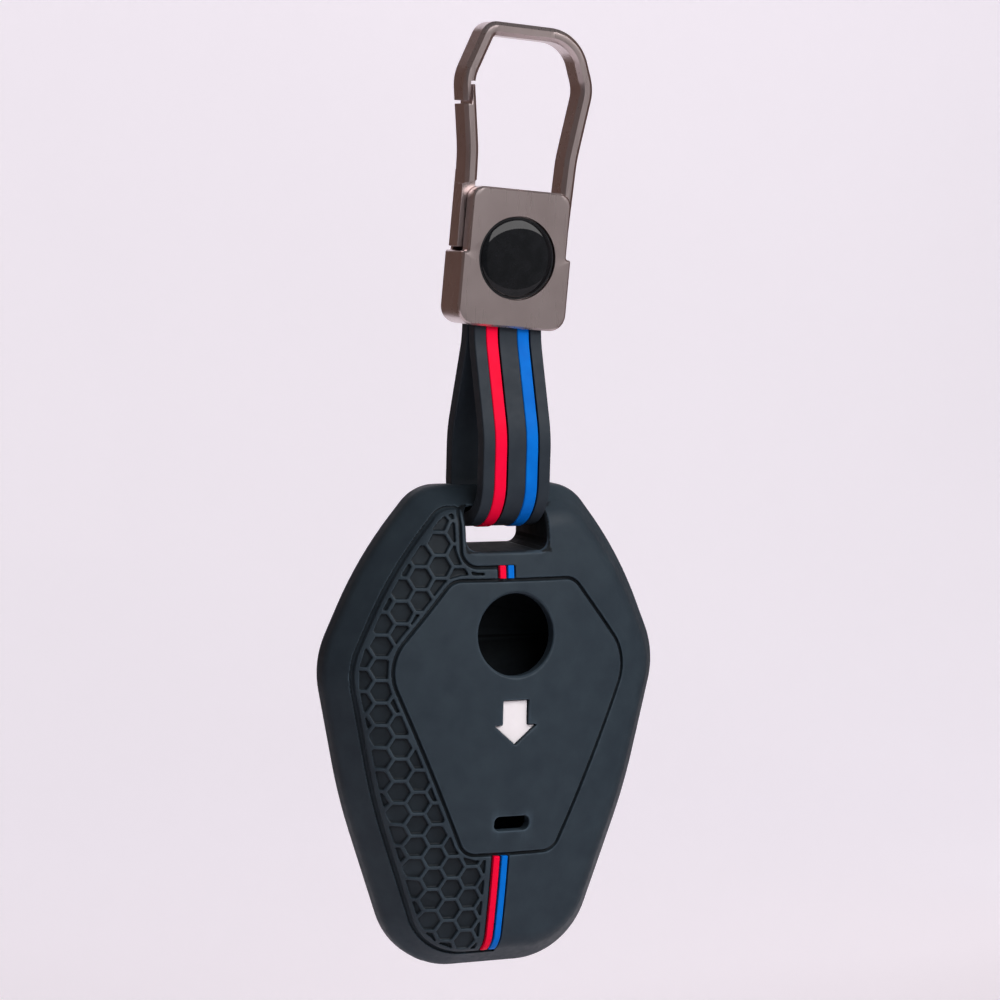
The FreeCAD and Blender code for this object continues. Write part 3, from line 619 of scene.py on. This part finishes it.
def finish_of():
    """One material for each slot of the record."""
    return {
        "silicone_black": silicone("silicone_black", COVER_TONES, COVER_ROUGH, COVER_GLOSS, CELL_PAINTED_SHADE),
        "strap_black": silicone("strap_black", STRAP_TONES, STRAP_ROUGH, STRAP_GLOSS, GROOVE_PAINTED_SHADE),
        "inlay_red": silicone("inlay_red", RED_TONES, STRIPE_ROUGH, STRIPE_GLOSS),
        "inlay_blue": silicone("inlay_blue", BLUE_TONES, STRIPE_ROUGH, STRIPE_GLOSS),
        "arrow_white": silicone("arrow_white", WHITE_TONES, WHITE_ROUGH, WHITE_GLOSS),
        "gunmetal": plated("gunmetal", GUNMETAL_TONES, GUNMETAL_ROUGH),
        "steel": plated("steel", STEEL_TONES, STEEL_ROUGH),
        "badge_black": silicone("badge_black", BADGE_TONES, BADGE_ROUGH, BADGE_GLOSS),
        "badge_resin": resin("badge_resin", RESIN_TONES),
    }


def coat(obj, finishes, slot):
    obj.data.materials.clear()
    obj.data.materials.append(finishes[slot])
    return obj


def seated(piece, body, finishes, slot, *nodes):
    """Set a new piece on its body with its finish, in the place of the solids it stands for."""
    coat(piece, finishes, slot)
    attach(piece, body)
    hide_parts(*nodes)
    return piece


def cover_pieces(nodes, finishes):
    skin = moulded(nodes["cover_shell"], COVER_GRID, COVER_SOFTENING, COVER_KEPT)
    seated(mark_relief(skin), "cover", finishes, "silicone_black", "cover_shell")
    inlays = (
        ("tick_red", "inlay_red"), ("tick_blue", "inlay_blue"), ("stripe_red", "inlay_red"),
        ("stripe_blue", "inlay_blue"), ("arrow_inlay", "arrow_white"),
    )
    for node, slot in inlays:
        piece = moulded(nodes[node], INLAY_GRID, INLAY_SOFTENING, INLAY_KEPT)
        seated(piece, "cover", finishes, slot, node)


def strap_pieces(finishes):
    seated(even_normals(strap_band()), "keychain", finishes, "strap_black", "strap_band")
    red = even_normals(strap_stripe("strap_stripe_red_skin", -STRIPE_X))
    seated(red, "keychain", finishes, "inlay_red", "strap_stripe_red")
    blue = even_normals(strap_stripe("strap_stripe_blue_skin", STRIPE_X))
    seated(blue, "keychain", finishes, "inlay_blue", "strap_stripe_blue")


def hook_pieces(nodes, finishes):
    for node in ("hook_frame", "gate"):
        metal_edges(nodes[node])
        coat(nodes[node], finishes, "gunmetal")
    for node in ("gate_pin", "strap_pin"):
        metal_edges(nodes[node])
        coat(nodes[node], finishes, "steel")
    coat(smooth(nodes["badge_base"]), finishes, "badge_black")
    seated(badge_dome(), "keychain", finishes, "badge_resin", "badge_dome")
    wire = seated(gate_spring(), "keychain", finishes, "steel", "gate_spring")
    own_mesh(wire)


def sheet(name, profile, finish):
    """Wide sheet of paper that follows a profile of (y, z) points."""
    shape = bmesh.new()
    rows = []
    for y, z in profile:
        rows.append([shape.verts.new(metres((side * SWEEP_HALF, y, z))) for side in (-1, 1)])
    for a, b in zip(rows, rows[1:]):
        shape.faces.new((a[0], a[1], b[1], b[0]))
    made = smooth(object_of(shape, name))
    made.data.materials.append(finish)
    return made


def backdrop(low):
    """Floor that curves up into a wall behind, and an apron before it that gloss does not mirror."""
    floor = low.z / MM - FLOOR_DROP
    finish = paper("paper", PAPER_TONES, PAPER_GLOW, GLOW_FADE)
    profile = [(-SWEEP_NEAR, floor)]
    for k in range(SWEEP_STEPS + 1):
        angle = math.pi / 2 * k / SWEEP_STEPS
        profile.append((SWEEP_FAR + SWEEP_R * math.sin(angle), floor + SWEEP_R * (1 - math.cos(angle))))
    profile.append((SWEEP_FAR + SWEEP_R, floor + SWEEP_HEIGHT))
    sheet("backdrop", profile, finish)
    sheet("apron", [(-APRON_NEAR, floor), (-SWEEP_NEAR, floor)], finish).visible_glossy = False


def flag(name, place, size, turn, finish):
    """Dark card beside the object, hidden from the camera, that keeps its flanks dark."""
    shape = bmesh.new()
    corners = ((-1, -1), (1, -1), (1, 1), (-1, 1))
    shape.faces.new([shape.verts.new(metres((x * size[0] / 2, 0.0, z * size[1] / 2))) for x, z in corners])
    card = object_of(shape, name)
    card.location = metres(place)
    card.rotation_euler.z = math.radians(turn)
    card.data.materials.append(finish)
    card.visible_camera = False
    card.visible_shadow = False


def flags():
    finish = paper("flag_card", CARD_TONES, CARD_GLOW)
    flag("left_flag", *LEFT_FLAG, finish)
    flag("right_flag", *RIGHT_FLAG, finish)


def surround():
    """Pale ball far outside, so that every view has the same plain background."""
    shape = bmesh.new()
    bmesh.ops.create_icosphere(shape, subdivisions=SURROUND_STEPS, radius=SURROUND_R * MM)
    ball = smooth(object_of(shape, "surround"))
    ball.data.materials.append(paper("surround", SURROUND_TONES, SURROUND_GLOW))
    ball.visible_diffuse = False
    ball.visible_glossy = False
    ball.visible_shadow = False


def softbox(name, place, size, power, tone):
    data = bpy.data.lights.new(name, "AREA")
    data.shape = "RECTANGLE"
    data.size, data.size_y = size[0] * MM, size[1] * MM
    data.energy = power
    data.color = tone
    lamp = link(bpy.data.objects.new(name, data))
    lamp.location = metres(place)
    lamp.rotation_euler = (metres(LIT_MIDDLE) - lamp.location).to_track_quat("-Z", "Y").to_euler()


def studio():
    world = bpy.data.worlds.new("studio")
    world.use_nodes = True
    sky = world.node_tree.nodes["Background"]
    sky.inputs["Color"].default_value = (*SKY_TONE, 1.0)
    sky.inputs["Strength"].default_value = SKY_STRENGTH
    bpy.context.scene.world = world
    softbox("key", *KEY_LIGHT)
    softbox("front", *FRONT_LIGHT)
    bpy.context.scene.view_settings.view_transform = "Standard"


def photo_camera():
    """Camera that sees the cover as the photo does: its right, down and ahead are the rows of axes."""
    turn = Matrix.Rotation(math.radians(VIEW_ROLL), 3, "Z")
    turn = turn @ Matrix.Rotation(math.radians(VIEW_TILT), 3, "X")
    turn = turn @ Matrix.Rotation(math.radians(VIEW_SWING), 3, "Y")
    axes = turn @ Matrix(((1, 0, 0), (0, 0, -1), (0, 1, 0)))
    right, down, ahead = axes
    pose = Matrix((right, -down, -ahead)).transposed().to_4x4()
    pose.translation = metres(WINDOW_PLACE) - axes.transposed() @ metres(VIEW_WINDOW)
    data = bpy.data.cameras.new("photo_camera")
    data.sensor_width = SENSOR
    data.lens = LENS
    camera = link(bpy.data.objects.new("photo_camera", data))
    camera.matrix_world = pose
    bpy.context.scene.camera = camera


def main():
    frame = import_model()
    solid_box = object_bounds()
    finishes = finish_of()
    cover_pieces(frame["nodes"], finishes)
    strap_pieces(finishes)
    hook_pieces(frame["nodes"], finishes)
    backdrop(solid_box[0])
    flags()
    surround()
    studio()
    photo_camera()


main()
